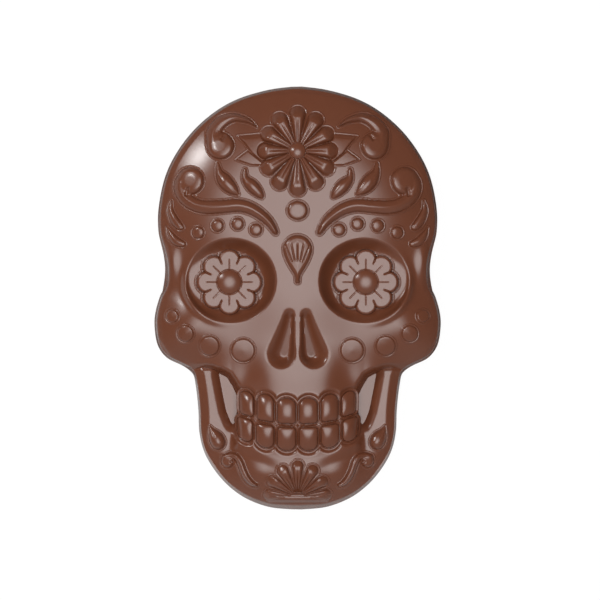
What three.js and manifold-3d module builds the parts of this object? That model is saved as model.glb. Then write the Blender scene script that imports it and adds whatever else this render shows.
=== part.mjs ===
// A moulded chocolate bar in the form of a decorated skull, lying on its flat back.
// All sizes are in millimetres. +X is the viewer's right, +Y the crown, +Z out of the face.
// The origin is the middle of the flat back. The bar is symmetric about the plane X = 0, so every
// paired form is drawn once, on the +X side, and mirrored.
import * as THREE from "three";
import { mergeVertices } from "three/addons/utils/BufferGeometryUtils.js";
import Module from "manifold-3d";

const wasm = await Module();
wasm.setup();

// Driving dimensions

// Flat back layer, and the drafted wall that lets the bar leave its mould: the wall leans in by WALL_DRAFT.
const PLATE_THICKNESS = 3.0;
const WALL_ABOVE_PLATE = 1.4;
const WALL_DRAFT = 1.3;

// Gap between a form and what carries it, and between the two halves of the skull.
const SEAT_GAP = 0.3;

// The right half of the outline on the back face, from the crown to the chin: [x, y].
const OUTLINE = [
  [1.2, 59.0],
  [8.0, 58.1],
  [16.0, 55.8],
  [22.6, 52.3],
  [28.9, 46.9],
  [33.9, 40.3],
  [37.1, 33.4],
  [38.8, 25.0],
  [38.8, 18.4],
  [37.6, 13.4],
  [36.8, 8.6],
  [36.9, 3.9],
  [38.5, 0.2],
  [39.7, -4.2],
  [39.9, -8.2],
  [39.0, -13.2],
  [36.4, -16.7],
  [32.0, -18.9],
  [29.4, -20.6],
  [28.4, -24.6],
  [27.7, -31.0],
  [27.4, -37.4],
  [26.1, -42.8],
  [23.3, -47.8],
  [19.4, -52.3],
  [14.4, -55.9],
  [8.0, -58.3],
  [1.2, -59.0],
];

// Broad forms of the face. Each rise is added to the height of the wall.
const SHOULDER = { width: 13, rise: 3.4, roundness: 2.2 };
const SKULLCAP = { y: 21, rx: 43, ry: 45, rise: 4.4 };
const NASAL_RIDGE = { y: -10, rx: 16, ry: 19, rise: 2.6 };
const CHEEKBONE = { x: 25, y: -8.5, rx: 11, ry: 7.5, rise: 2.0 };
const CHEEK_UNDERSIDE = { y: -19.6, run: 5.5 };
const MIDFACE = { from: 9.6, to: 19.2 };
const MUZZLE = { y: -31, rx: 18.5, ry: 13, rise: 4.0 };
const CHIN_BOSS = { y: -50.5, rx: 12, ry: 5.5, rise: 1.5 };

// Hollows. Floors are measured from the top of the plate, and wall is how far the side leans out.
const EYE_SOCKET = { x: 17.9, y: 4.7, rx: 12.8, ry: 11.8, wall: 1.7, floor: 4.0 };
const NOSTRIL = {
  topX: 2.5,
  topY: -4.4,
  topRadius: 2.1,
  footX: 4.9,
  footY: -15.6,
  footRadius: 4.5,
  depth: 5.0,
};
const JAW_GAP = { x: 18.9, y: -28.2, rx: 4.8, ry: 9.9, leanDeg: 12, wall: 2.5 };
const HOLLOW_CORNER = 0.6;

// Where the two rows of teeth meet: its height on the centre line, and how far it rises at the last tooth.
const BITE_LINE = { y: -35.4, riseAtEnd: 2.5 };

// Teeth, from the middle outwards. They stand side by side with TOOTH_SPACING between them.
const TOOTH_RISE = 1.6;
const TOOTH_SPACING = 0.4;
const TOOTH_BITE_GAP = 0.5;
const TOOTH_EDGE = 0.6;
const ROOT_SQUARENESS = 2.4;
const BITE_SQUARENESS = 4.5;
const UPPER_TEETH = [
  { width: 5.3, length: 7.7 },
  { width: 5.2, length: 7.6 },
  { width: 4.7, length: 7.0 },
];
const LOWER_TEETH = [
  { width: 5.4, length: 7.1 },
  { width: 5.4, length: 6.9 },
  { width: 5.1, length: 7.0 },
];

// Relief heights of the ornaments above the surface that carries them.
const BEAD_RISE = 0.8;
const SCROLL_RISE = 1.3;
const LEAF_RISE = 1.0;
const PETAL_RISE = 1.2;
const BLADE_RISE = 0.6;
const EDGE_RISE = 0.3;

const FOREHEAD_FLOWER = {
  x: 0,
  y: 40.7,
  petals: 12,
  tipX: 11.2,
  tipY: 12.5,
  notch: 0.79,
  groove: 0.5,
  bossRadius: 2.2,
};
const EYE_FLOWER = {
  offsetX: 0.9,
  offsetY: -0.3,
  petals: 8,
  clearance: 0.4,
  notch: 0.83,
  groove: 0.25,
  rise: 1.5,
  bossRadius: 3.3,
  bossRise: 2.4,
};
const CHIN_FLOWER = { y: -56.0, petalStep: 31, petals: 5, length: 10.6, root: 3.2, halfWidth: 1.75 };
const FOREHEAD_BEAD = { x: 0, y: 24.2, rx: 2.9, ry: 2.7 };

const BROW_BEAD_RADIUS = 1.7;
const BROW_BEADS = [
  [11.5, 18.9],
  [16.6, 20.5],
  [22.2, 20.0],
  [27.6, 18.1],
];
const CHEEK_BEADS = [
  { x: 15.0, y: -14.5, radius: 3.2 },
  { x: 24.3, y: -13.3, radius: 2.7 },
  { x: 31.1, y: -9.9, radius: 2.25 },
  { x: 34.9, y: -5.0, radius: 1.8 },
];

// Ribbons: each row is a point of the centre line and the half width there, [x, y, halfWidth].
const VOLUTE_TAIL = [
  [23.4, 42.6, 2.6],
  [23.7, 45.6, 2.3],
  [21.9, 48.7, 1.7],
  [18.6, 49.9, 1.2],
  [15.2, 49.8, 0.8],
  [12.2, 48.3, 0.2],
];
const VOLUTE_HEAD = { x: 20.9, y: 41.9, radius: 3.8 };
const BROW_TAIL = [
  [31.9, 32.9, 1.9],
  [32.3, 30.1, 2.1],
  [31.0, 27.4, 2.1],
  [28.3, 25.4, 2.1],
  [24.4, 24.8, 2.1],
  [19.0, 25.4, 2.1],
  [14.6, 25.4, 2.05],
  [11.2, 24.2, 1.9],
  [8.4, 21.8, 1.6],
  [6.3, 18.9, 1.2],
  [5.7, 17.7, 0.5],
];
const BROW_HEAD = { x: 29.9, y: 31.9, radius: 4.1 };
const CHIN_SCROLL_TAIL = [
  [18.2, -44.6, 1.0],
  [16.4, -44.9, 1.2],
  [15.0, -47.0, 1.1],
  [13.7, -49.7, 1.05],
  [12.3, -51.7, 0.9],
  [11.0, -52.6, 0.3],
];
const CHIN_SCROLL_HEAD = { x: 19.3, y: -45.3, radius: 1.9 };
const SPRIG_LEAF_OUTER = [
  [22.2, 37.4, 0.4],
  [21.9, 35.3, 1.2],
  [20.2, 33.0, 1.9],
  [18.0, 30.8, 1.7],
  [16.1, 28.9, 0.4],
];
const SPRIG_LEAF_INNER = [
  [14.5, 35.9, 0.7],
  [14.2, 33.6, 1.2],
  [12.8, 31.2, 1.9],
  [11.1, 29.3, 1.6],
  [10.1, 27.9, 0.4],
];
const TEMPLE_LEAF_UPPER = [
  [35.3, 27.4, 0.2],
  [35.4, 24.6, 0.9],
  [34.6, 21.9, 1.2],
  [32.6, 19.5, 1.0],
  [31.8, 19.0, 0.4],
];
const TEMPLE_LEAF_LOWER = [
  [36.1, 19.3, 0.2],
  [35.5, 17.5, 0.9],
  [34.1, 16.0, 1.2],
  [32.3, 14.9, 1.0],
  [31.6, 14.7, 0.4],
];
const JAW_DROP = [
  [24.3, -35.6, 0.15],
  [23.7, -37.2, 1.1],
  [22.7, -39.0, 2.3],
  [21.9, -40.6, 2.2],
  [21.4, -41.7, 0.8],
];
const NOSE_FAN = [
  [0, 17.5, 1.6],
  [0, 16.4, 3.5],
  [0, 14.4, 4.3],
  [0, 12.0, 3.6],
  [0, 9.6, 1.9],
  [0, 7.8, 0.95],
  [0, 5.6, 0.8],
  [0, 3.9, 0.6],
];
// Pointed blades behind the forehead flower: corners in order, tip first.
const UPPER_BLADE = [
  [16.7, 44.9],
  [13.2, 45.5],
  [7.0, 45.9],
  [7.0, 38.0],
  [10.4, 37.8],
  [12.2, 39.2],
  [13.6, 41.0],
];
const LOWER_BLADE = [
  [17.0, 38.1],
  [14.1, 40.6],
  [12.6, 39.0],
  [10.7, 37.2],
  [8.0, 36.6],
  [10.4, 36.4],
];

// How finely curved forms are cut into facets.
const GRID_ACROSS = 34;
const GRID_ALONG = 50;
const OUTLINE_STEPS = 150;
const RIBBON_ACROSS = 3;
const PETAL_STEPS = 48;
const BITE_STEPS = 8;

// Larger than the bar in every direction.
const BEYOND = 100;

// The surface of the face

const clamp = (value, low, high) => Math.min(high, Math.max(low, value));
const ease = (from, to, value) => THREE.MathUtils.smoothstep(value, from, to);
const mound = (x, y, form) =>
  form.rise * Math.exp(-(((x - (form.x ?? 0)) / form.rx) ** 2) - ((y - form.y) / form.ry) ** 2);

const outlineCurve = new THREE.SplineCurve(OUTLINE.map(([x, y]) => new THREE.Vector2(x, y)));

// The outline moved inwards, at a share t of the way from crown to chin.
function outlineAt(t, inset) {
  const point = outlineCurve.getPoint(t);
  const along = outlineCurve.getTangent(t);
  return new THREE.Vector2(Math.max(point.x + along.y * inset, 0.6), point.y - along.x * inset);
}

const wallTop = PLATE_THICKNESS + WALL_ABOVE_PLATE;
const socketFloor = PLATE_THICKNESS + EYE_SOCKET.floor;
const rimLine = Array.from({ length: OUTLINE_STEPS + 1 }, (_, i) => outlineAt(i / OUTLINE_STEPS, WALL_DRAFT));

// Distance from a point on the +X side to the top edge of the rim.
function distanceToRim(x, y) {
  let nearest = Infinity;
  for (let i = 1; i < rimLine.length; i++) {
    const a = rimLine[i - 1];
    const b = rimLine[i];
    const share = clamp(((x - a.x) * (b.x - a.x) + (y - a.y) * (b.y - a.y)) / a.distanceToSquared(b), 0, 1);
    nearest = Math.min(nearest, Math.hypot(x - a.x - share * (b.x - a.x), y - a.y - share * (b.y - a.y)));
  }
  return nearest;
}

// Height of the face above the flat back, before its hollows are cut.
function faceHeight(x, y) {
  const side = Math.abs(x);
  const inwards = clamp(distanceToRim(side, y) / SHOULDER.width, 0, 1);
  const shoulder = SHOULDER.rise * (1 - (1 - inwards) ** SHOULDER.roundness);
  const fromCrown = (side / SKULLCAP.rx) ** 2 + ((y - SKULLCAP.y) / SKULLCAP.ry) ** 2;
  const cap = SKULLCAP.rise * Math.max(0, 1 - fromCrown);
  const cheek = mound(side, y, CHEEKBONE);
  const underside = ease(CHEEK_UNDERSIDE.y, CHEEK_UNDERSIDE.y + CHEEK_UNDERSIDE.run, y);
  const muzzleArch = Math.max(0, 1 - (side / MUZZLE.rx) ** 2) ** 1.5;
  const muzzle = MUZZLE.rise * muzzleArch * Math.exp(-(((y - MUZZLE.y) / MUZZLE.ry) ** 2));
  const middle = 1 - ease(MIDFACE.from, MIDFACE.to, side);
  const upper = (cap + cheek) * (underside + (1 - underside) * middle);
  return wallTop + shoulder + upper + mound(x, y, NASAL_RIDGE) + muzzle + mound(x, y, CHIN_BOSS);
}

// Closed solids

// A closed three.js geometry as a manifold-3d solid.
function toSolid(geometry) {
  const loose = geometry.index ? geometry.toNonIndexed() : geometry;
  const bare = new THREE.BufferGeometry().setAttribute("position", loose.getAttribute("position"));
  const merged = mergeVertices(bare, 1e-4);
  return new wasm.Manifold(
    new wasm.Mesh({
      numProp: 3,
      vertProperties: new Float32Array(merged.attributes.position.array),
      triVerts: new Uint32Array(merged.index.array),
    }),
  );
}

function toGeometry(solid) {
  const mesh = solid.getMesh();
  const positions = new Float32Array(mesh.numVert * 3);
  for (let i = 0; i < mesh.numVert; i++) {
    positions.set(mesh.vertProperties.subarray(i * mesh.numProp, i * mesh.numProp + 3), i * 3);
  }
  const geometry = new THREE.BufferGeometry();
  geometry.setAttribute("position", new THREE.BufferAttribute(positions, 3));
  geometry.setIndex(new THREE.BufferAttribute(new Uint32Array(mesh.triVerts), 1));
  return geometry;
}

// Moves every vertex of a geometry to where place(x, y, z) says.
function warp(geometry, place) {
  const position = geometry.getAttribute("position");
  for (let i = 0; i < position.count; i++) {
    position.setXYZ(i, ...place(position.getX(i), position.getY(i), position.getZ(i)));
  }
  return geometry;
}

// Lays a flat relief on the face: its own z becomes its height above the surface.
const drape = (geometry) => warp(geometry, (x, y, z) => [x, y, faceHeight(x, y) + SEAT_GAP + z]);

// A block whose plan is the outline. Its wall leans in by topInset from z 0 up to its top at topHeight(x, y).
function outlineBlock(topInset, across, along, topHeight) {
  return warp(new THREE.BoxGeometry(2, 1, 1, across, along, 1), (u, v, w) => {
    const edge = outlineAt(0.5 - v, w > 0 ? topInset : 0);
    const x = u * edge.x;
    return [x, edge.y, w > 0 ? topHeight(x, edge.y) : 0];
  });
}

// A prism standing on z 0 over a closed plan.
const prism = (plan, height) =>
  new THREE.ExtrudeGeometry(new THREE.Shape(plan.map(([x, y]) => new THREE.Vector2(x, y))), {
    depth: height,
    bevelEnabled: false,
  });

// A solid turned about Z from a half profile of [radius, z] points that starts and ends on the axis.
function turned(profile, segments) {
  const points = profile.map(([radius, z]) => new THREE.Vector2(radius, z));
  return new THREE.LatheGeometry(points, segments).rotateX(Math.PI / 2);
}

// Half profile of a low dome with a short upright edge, for a foot radius of 1.
function domeProfile(rise, edge, rings) {
  const profile = [
    [0, 0],
    [1, 0],
  ];
  for (let i = 0; i <= rings; i++) {
    const angle = (i / rings) * (Math.PI / 2);
    profile.push([Math.cos(angle), edge + (rise - edge) * Math.sin(angle)]);
  }
  return profile;
}

// A round or oval bead.
function bead(x, y, rx, ry, rise, segments = 12) {
  return warp(turned(domeProfile(rise, EDGE_RISE, 2), segments), (u, v, z) => [x + u * rx, y + v * ry, z]);
}

// A rounded ribbon along a smooth centre line whose half width changes.
function ribbon(rows, rise, along) {
  const line = new THREE.SplineCurve(rows.map(([x, y]) => new THREE.Vector2(x, y)));
  const widths = new THREE.SplineCurve(rows.map((row, i) => new THREE.Vector2(i, row[2])));
  return warp(new THREE.BoxGeometry(2, 1, 1, RIBBON_ACROSS, along, 1), (u, v, w) => {
    const t = v + 0.5;
    const centre = line.getPoint(t);
    const heading = line.getTangent(t);
    const halfWidth = Math.max(widths.getPoint(t).y, 0.12);
    const slender = Math.min(1, halfWidth / (0.6 * rise));
    const arch = EDGE_RISE + (rise - EDGE_RISE) * slender * Math.sqrt(1 - u * u);
    return [centre.x + heading.y * u * halfWidth, centre.y - heading.x * u * halfWidth, w > 0 ? arch : 0];
  });
}

// A scroll: a ribbon that grows out of a round head.
function scroll(rows, head, rise, along) {
  const tail = toSolid(ribbon(rows, rise, along));
  const knob = toSolid(bead(head.x, head.y, head.radius, head.radius, rise * 1.1, 16));
  return toGeometry(tail.add(knob));
}

// How far a direction is from the middle line of the nearest petal: 0 on the line, 1 halfway to the next petal.
// One petal points straight up.
function acrossPetal(u, v, petals) {
  const turns = (Math.atan2(u, v) / (2 * Math.PI)) * petals;
  return Math.abs(turns - Math.round(turns)) * 2;
}

// The three castings that carry the ornaments

// A cutter for an oval hollow. Its side leans out by form.wall on the way up from the floor to the surface.
function hollowCutter(form, floorHeight, segments) {
  const depth = faceHeight(form.x, form.y) - floorHeight;
  const lean = THREE.MathUtils.degToRad(form.leanDeg ?? 0);
  const profile = [
    [0, 0],
    [1, 0],
    [1, HOLLOW_CORNER],
    [1, depth],
    [1, BEYOND],
    [0, BEYOND],
  ];
  return warp(turned(profile, segments), (u, v, z) => {
    const inset = z > 0 ? form.wall * Math.max(0, 1 - z / depth) : form.wall + HOLLOW_CORNER;
    const across = u * (form.rx - inset);
    const along = v * (form.ry - inset);
    return [
      form.x + across * Math.cos(lean) + along * Math.sin(lean),
      form.y - across * Math.sin(lean) + along * Math.cos(lean),
      floorHeight + z,
    ];
  });
}

// A nostril: a drop-shaped hollow, narrow at the top and deep at its round foot.
function nostrilCutter() {
  const n = NOSTRIL;
  return warp(new THREE.SphereGeometry(1, 16, 10), (u, v, w) => {
    const share = (1 - v) / 2;
    const radius = THREE.MathUtils.lerp(n.topRadius, n.footRadius, share ** 0.8);
    const x = THREE.MathUtils.lerp(n.topX, n.footX, share);
    const y = THREE.MathUtils.lerp(n.topY + n.topRadius, n.footY - n.footRadius, share);
    return [x + u * radius * 1.15, y, faceHeight(x, y) + w * n.depth * (0.5 + 0.5 * share)];
  });
}

const mirrorX = (solid) => solid.mirror([1, 0, 0]);

function carvedFace() {
  const blank = toSolid(outlineBlock(WALL_DRAFT, GRID_ACROSS, GRID_ALONG, faceHeight));
  const socket = toSolid(hollowCutter(EYE_SOCKET, socketFloor, 32));
  const gap = toSolid(hollowCutter(JAW_GAP, PLATE_THICKNESS - HOLLOW_CORNER, 20));
  const nostril = toSolid(nostrilCutter());
  const carve = (face, cutter) => face.subtract(cutter).subtract(mirrorX(cutter));
  return [socket, gap, nostril].reduce(carve, blank);
}

// Teeth of one row with their places, from the middle outwards.
function toothRow(forms) {
  let inner = TOOTH_SPACING / 2;
  return forms.map((form) => {
    const x = inner + form.width / 2;
    inner += form.width + TOOTH_SPACING;
    return { ...form, x };
  });
}

const upperRow = toothRow(UPPER_TEETH);
const lowerRow = toothRow(LOWER_TEETH);
const rowEnd = lowerRow.at(-1).x + lowerRow.at(-1).width / 2;

// Where the two rows of teeth meet, at a distance x from the middle.
const biteLine = (x) => BITE_LINE.y + BITE_LINE.riseAtEnd * (x / rowEnd) ** 2;

// The plan of everything above (side 1) or below (side -1) the line that parts the upper skull from the jaw.
// The line runs under the cheek, down through the gap beside the teeth and along the bite.
function partingPlan(side) {
  const cheekEnd = JAW_GAP.x + JAW_GAP.rx / 2;
  const half = [
    [BEYOND, CHEEK_UNDERSIDE.y],
    [cheekEnd, CHEEK_UNDERSIDE.y],
    [JAW_GAP.x, JAW_GAP.y],
  ];
  for (let i = 0; i <= BITE_STEPS; i++) {
    const x = rowEnd * (1 - i / BITE_STEPS);
    half.push([x, biteLine(x)]);
  }
  const right = half.map(([x, y]) => [x, y + (side * SEAT_GAP) / 2]);
  const left = right.slice(0, -1).map(([x, y]) => [-x, y]);
  const plan = [...right, ...left.reverse(), [-BEYOND, side * BEYOND], [BEYOND, side * BEYOND]];
  return side > 0 ? plan : plan.reverse();
}

const block = new THREE.BoxGeometry(2 * BEYOND, 2 * BEYOND, BEYOND);
const abovePlate = toSolid(block.translate(0, 0, PLATE_THICKNESS + BEYOND / 2));
const relief = carvedFace().intersect(abovePlate);
const reliefPart = (side) => toGeometry(relief.intersect(toSolid(prism(partingPlan(side), BEYOND))));

function basePlate() {
  const inset = (WALL_DRAFT * PLATE_THICKNESS) / wallTop;
  return outlineBlock(inset, 1, GRID_ALONG, () => PLATE_THICKNESS);
}

// Teeth and ornaments, drawn flat and then laid on the face

// A tooth: a rounded block, rounder at its root than at its biting edge. rootSide is +1 for an upper tooth.
function tooth(form, rootSide) {
  const centreY = biteLine(form.x) + rootSide * (TOOTH_BITE_GAP / 2 + form.length / 2);
  const slope = (2 * BITE_LINE.riseAtEnd * form.x) / rowEnd ** 2;
  return warp(turned(domeProfile(TOOTH_RISE, TOOTH_EDGE, 3), 14), (u, v, z) => {
    const angle = Math.atan2(v, u);
    const squareness = v * rootSide > 0 ? ROOT_SQUARENESS : BITE_SQUARENESS;
    const spread = Math.abs(Math.cos(angle)) ** squareness + Math.abs(Math.sin(angle)) ** squareness;
    const reach = spread ** (-1 / squareness);
    const x = (u * reach * form.width) / 2;
    const y = (v * reach * form.length) / 2;
    return [form.x + x, centreY + y + slope * x, z];
  });
}

// The share of a flower's radius that its edge reaches, from 1 at a petal's tip to notch between two petals.
const petalReach = (off, notch) => 1 - (1 - notch) * off ** 3.5;

// The plan of a flower, grown outwards by a clearance.
function flowerPlan(form, clearance) {
  return Array.from({ length: PETAL_STEPS }, (_, i) => {
    const angle = (i / PETAL_STEPS) * 2 * Math.PI;
    const u = Math.cos(angle);
    const v = Math.sin(angle);
    const reach = petalReach(acrossPetal(u, v, form.petals), form.notch);
    return [form.x + u * (form.tipX * reach + clearance), form.y + v * (form.tipY * reach + clearance)];
  });
}

// A flower: petals round a centre, each with a groove down its middle and a deeper one beside its neighbour.
function flower(form, tipX, tipY, rise) {
  const profile = [
    [0, 0],
    [0.5, 0],
    [1, 0],
    [1, EDGE_RISE],
    [0.86, rise],
    [0.25, rise * 0.7],
    [0, rise * 0.7],
  ];
  return warp(turned(profile, PETAL_STEPS), (u, v, z) => {
    const off = acrossPetal(u, v, form.petals);
    const reach = petalReach(off, form.notch);
    const relief = Math.max(0, z - EDGE_RISE) * Math.min(1, Math.hypot(u, v) * 4);
    const dip = relief * (off < 0.25 ? form.groove : off > 0.9 ? 0.85 : off > 0.6 ? 0.15 : 0);
    return [form.x + u * reach * tipX, form.y + v * reach * tipY, z - dip];
  });
}

function eyeFlower() {
  const f = { ...EYE_FLOWER, x: EYE_SOCKET.x + EYE_FLOWER.offsetX, y: EYE_SOCKET.y + EYE_FLOWER.offsetY };
  const edge = EYE_SOCKET.wall + HOLLOW_CORNER + EYE_FLOWER.clearance;
  const tip = Math.min(EYE_SOCKET.rx - Math.abs(f.offsetX), EYE_SOCKET.ry - Math.abs(f.offsetY)) - edge;
  const petals = toSolid(flower(f, tip, tip, f.rise));
  const boss = toSolid(bead(f.x, f.y, f.bossRadius, f.bossRadius, f.bossRise, 18));
  return toGeometry(petals.add(boss)).translate(0, 0, socketFloor);
}

// A blade behind the flower, cut back from the petals in front of it.
function blade(plan) {
  const petals = prism(flowerPlan(FOREHEAD_FLOWER, SEAT_GAP), 3 * BLADE_RISE).translate(0, 0, -BLADE_RISE);
  return toGeometry(toSolid(prism(plan, BLADE_RISE)).subtract(toSolid(petals)));
}

function foreheadFlower() {
  const f = FOREHEAD_FLOWER;
  const petals = toSolid(flower(f, f.tipX, f.tipY, PETAL_RISE));
  const boss = toSolid(bead(f.x, f.y, f.bossRadius, f.bossRadius, PETAL_RISE * 1.2, 14));
  return toGeometry(petals.add(boss));
}

const foreheadBead = () => {
  const { x, y, rx, ry } = FOREHEAD_BEAD;
  return bead(x, y, rx, ry, BEAD_RISE);
};

// Half a flower: petals that fan out of the chin, joined at their roots.
function chinFlower() {
  const f = CHIN_FLOWER;
  const centre = new THREE.Vector2(0, f.y);
  const middle = (f.petals - 1) / 2;
  const petals = Array.from({ length: f.petals }, (_, i) => {
    const angle = THREE.MathUtils.degToRad(90 + (i - middle) * f.petalStep);
    const at = (reach, halfWidth) => [
      centre.x + Math.cos(angle) * reach,
      centre.y + Math.sin(angle) * reach,
      halfWidth,
    ];
    const rows = [
      at(f.root, f.halfWidth * 0.5),
      at(f.root + (f.length - f.root) * 0.4, f.halfWidth * 0.85),
      at(f.root + (f.length - f.root) * 0.75, f.halfWidth),
      at(f.root + (f.length - f.root) * 0.93, f.halfWidth * 0.7),
      at(f.length, f.halfWidth * 0.25),
    ];
    return toSolid(ribbon(rows, PETAL_RISE, 6));
  });
  const roots = toSolid(bead(0, f.y + f.root * 0.8, f.root * 1.5, f.root * 0.5, PETAL_RISE * 0.7));
  return toGeometry(petals.reduce((whole, petal) => whole.add(petal), roots));
}

// The assembly

const chocolate = () => new THREE.MeshStandardMaterial({ color: 0x683e2c, roughness: 0.28, metalness: 0 });

function piece(name, geometry) {
  geometry.deleteAttribute("uv");
  geometry.computeBoundingBox();
  const centre = geometry.boundingBox.getCenter(new THREE.Vector3());
  const mesh = new THREE.Mesh(geometry.translate(-centre.x, -centre.y, -centre.z), chocolate());
  mesh.name = name;
  mesh.position.copy(centre);
  return mesh;
}

// The same form on both sides: drawn at +X, mirrored to -X.
function pair(group, name, geometry) {
  group.add(piece(`${name}_right`, geometry.clone()));
  const left = piece(`${name}_left`, geometry);
  left.position.x *= -1;
  left.scale.x = -1;
  group.add(left);
}

const bar = new THREE.Group();
bar.add(piece("base_plate", basePlate()), piece("cranium", reliefPart(1)), piece("jaw", reliefPart(-1)));

const teeth = new THREE.Group();
upperRow.forEach((form, i) => pair(teeth, `upper_tooth_${i + 1}`, drape(tooth(form, 1))));
lowerRow.forEach((form, i) => pair(teeth, `lower_tooth_${i + 1}`, drape(tooth(form, -1))));

const forehead = new THREE.Group();
forehead.add(piece("forehead_flower", drape(foreheadFlower())));
forehead.add(piece("forehead_bead", drape(foreheadBead())));
forehead.add(piece("nose_fan", drape(ribbon(NOSE_FAN, LEAF_RISE, 10))));
pair(forehead, "flower_blade_upper", drape(blade(UPPER_BLADE)));
pair(forehead, "flower_blade_lower", drape(blade(LOWER_BLADE)));
pair(forehead, "volute", drape(scroll(VOLUTE_TAIL, VOLUTE_HEAD, SCROLL_RISE, 12)));
pair(forehead, "sprig_leaf_outer", drape(ribbon(SPRIG_LEAF_OUTER, LEAF_RISE, 7)));
pair(forehead, "sprig_leaf_inner", drape(ribbon(SPRIG_LEAF_INNER, LEAF_RISE, 7)));

const brows = new THREE.Group();
pair(brows, "brow_scroll", drape(scroll(BROW_TAIL, BROW_HEAD, SCROLL_RISE, 20)));
pair(brows, "temple_leaf_upper", drape(ribbon(TEMPLE_LEAF_UPPER, LEAF_RISE, 6)));
pair(brows, "temple_leaf_lower", drape(ribbon(TEMPLE_LEAF_LOWER, LEAF_RISE, 6)));
BROW_BEADS.forEach(([x, y], i) =>
  pair(brows, `brow_bead_${i + 1}`, drape(bead(x, y, BROW_BEAD_RADIUS, BROW_BEAD_RADIUS, BEAD_RISE, 10))),
);

const eyes = new THREE.Group();
pair(eyes, "eye_flower", eyeFlower());

const lowerFace = new THREE.Group();
CHEEK_BEADS.forEach(({ x, y, radius }, i) =>
  pair(lowerFace, `cheek_bead_${i + 1}`, drape(bead(x, y, radius, radius, BEAD_RISE))),
);
pair(lowerFace, "jaw_drop", drape(ribbon(JAW_DROP, LEAF_RISE, 6)));
pair(lowerFace, "chin_scroll", drape(scroll(CHIN_SCROLL_TAIL, CHIN_SCROLL_HEAD, LEAF_RISE, 9)));
lowerFace.add(piece("chin_flower", drape(chinFlower())));

bar.add(teeth, forehead, brows, eyes, lowerFace);

export default bar;
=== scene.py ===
"""A glossy moulded chocolate bar in the form of a decorated skull, laid out as an add-on."""

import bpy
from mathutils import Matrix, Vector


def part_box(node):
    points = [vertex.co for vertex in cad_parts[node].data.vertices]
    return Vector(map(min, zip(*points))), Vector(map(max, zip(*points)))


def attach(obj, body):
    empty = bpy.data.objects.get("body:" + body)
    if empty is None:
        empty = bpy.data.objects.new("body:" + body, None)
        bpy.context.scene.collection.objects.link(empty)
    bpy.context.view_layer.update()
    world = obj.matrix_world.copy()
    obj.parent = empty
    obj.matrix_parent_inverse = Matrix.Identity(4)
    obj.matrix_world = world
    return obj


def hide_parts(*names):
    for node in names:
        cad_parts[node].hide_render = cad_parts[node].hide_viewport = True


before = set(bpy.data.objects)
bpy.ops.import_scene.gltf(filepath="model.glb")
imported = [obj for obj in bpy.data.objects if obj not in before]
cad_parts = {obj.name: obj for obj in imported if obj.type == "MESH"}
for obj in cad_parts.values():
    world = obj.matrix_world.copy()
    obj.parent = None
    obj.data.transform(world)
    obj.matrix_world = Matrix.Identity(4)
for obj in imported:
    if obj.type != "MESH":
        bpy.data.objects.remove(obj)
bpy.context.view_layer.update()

import math
from types import SimpleNamespace as Form

import bmesh
import bpy
import numpy as np
from bpy.props import FloatProperty, FloatVectorProperty, PointerProperty
from bpy.types import Operator, Panel, PropertyGroup
from mathutils import Vector

bl_info = {
    "name": "Chocolate Skull Bar",
    "version": (1, 0, 0),
    "blender": (4, 5, 0),
    "location": "3D View > Sidebar > Skull Bar",
    "description": "Models a moulded chocolate skull with its ornaments, and a plain studio round it",
    "category": "Object",
}

MM = 0.001
BODY = "root"

# Every length below is in millimetres, on the +X side of the bar. The left side is its mirror image.

# The outline on the flat back, from the crown to the chin.
OUTLINE = [
    (1.2, 59.0), (8.0, 58.1), (16.0, 55.8), (22.6, 52.3), (28.9, 46.9), (33.9, 40.3), (37.1, 33.4),
    (38.8, 25.0), (38.8, 18.4), (37.6, 13.4), (36.8, 8.6), (36.9, 3.9), (38.5, 0.2), (39.7, -4.2),
    (39.9, -8.2), (39.0, -13.2), (36.4, -16.7), (32.0, -18.9), (29.4, -20.6), (28.4, -24.6),
    (27.7, -31.0), (27.4, -37.4), (26.1, -42.8), (23.3, -47.8), (19.4, -52.3), (14.4, -55.9),
    (8.0, -58.3), (1.2, -59.0),
]

# The drafted wall, and the bevelled edge between it and the crease where the face begins.
WALL = Form(slope=5.2, chin_slope=2.9, chin_y=-42.0, chin_reach=18.0, round=0.8)
CREASE = Form(inset=2.2, height=4.3, bevel=0.7)

# Broad forms of the face. A plain row is a mound: the x and y of its middle, its reach along each, its rise.
SHOULDER = Form(width=20.0, rise=4.2, roundness=2.2)
CHEEK_SHOULDER = Form(width=14.5, rise=2.8, roundness=3.0)
CHEEK_TOP = Form(y=-12.0, length=18.0)
SKULLCAP = Form(y=21.0, rx=50.0, ry=54.0, rise=3.6)
NASAL_RIDGE = (0.0, -10.0, 16.0, 19.0, 2.4)
CHEEKBONE = (29.0, -8.2, 12.0, 9.0, 2.1)
LIP_VALLEY = (14.0, -22.0, 4.0, 6.5, -0.8)
TEMPLE = (35.2, 9.8, 2.3, 5.2, 1.3)
MUZZLE = Form(y=-33.0, rx=18.5, ry=12.5, rise=4.5, flatness=3.0, roundness=1.3)
JAW = Form(width=11.0, rise=3.0, roundness=2.2)
RAMUS = Form(inner=16.5, outer=19.5, top=-34.0, foot=-50.0)
RAMUS_SHOULDER = Form(width=1.3, rise=0.5, roundness=2.0)
CHIN_BOSS = (0.0, -50.5, 12.0, 5.5, 1.5)
GUM_LEDGE = Form(y=-45.2, lift=5.7, end=16.5, power=1.7, width=3.4, drop=0.5, start=2.0, ramp=7.0)
CHIN_SIDE = (12.2, -48.8, 5.5, 4.0, 0.75)
MOUTH_CORNER = (18.4, -36.5, 1.8, 4.2, -2.0)

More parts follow.
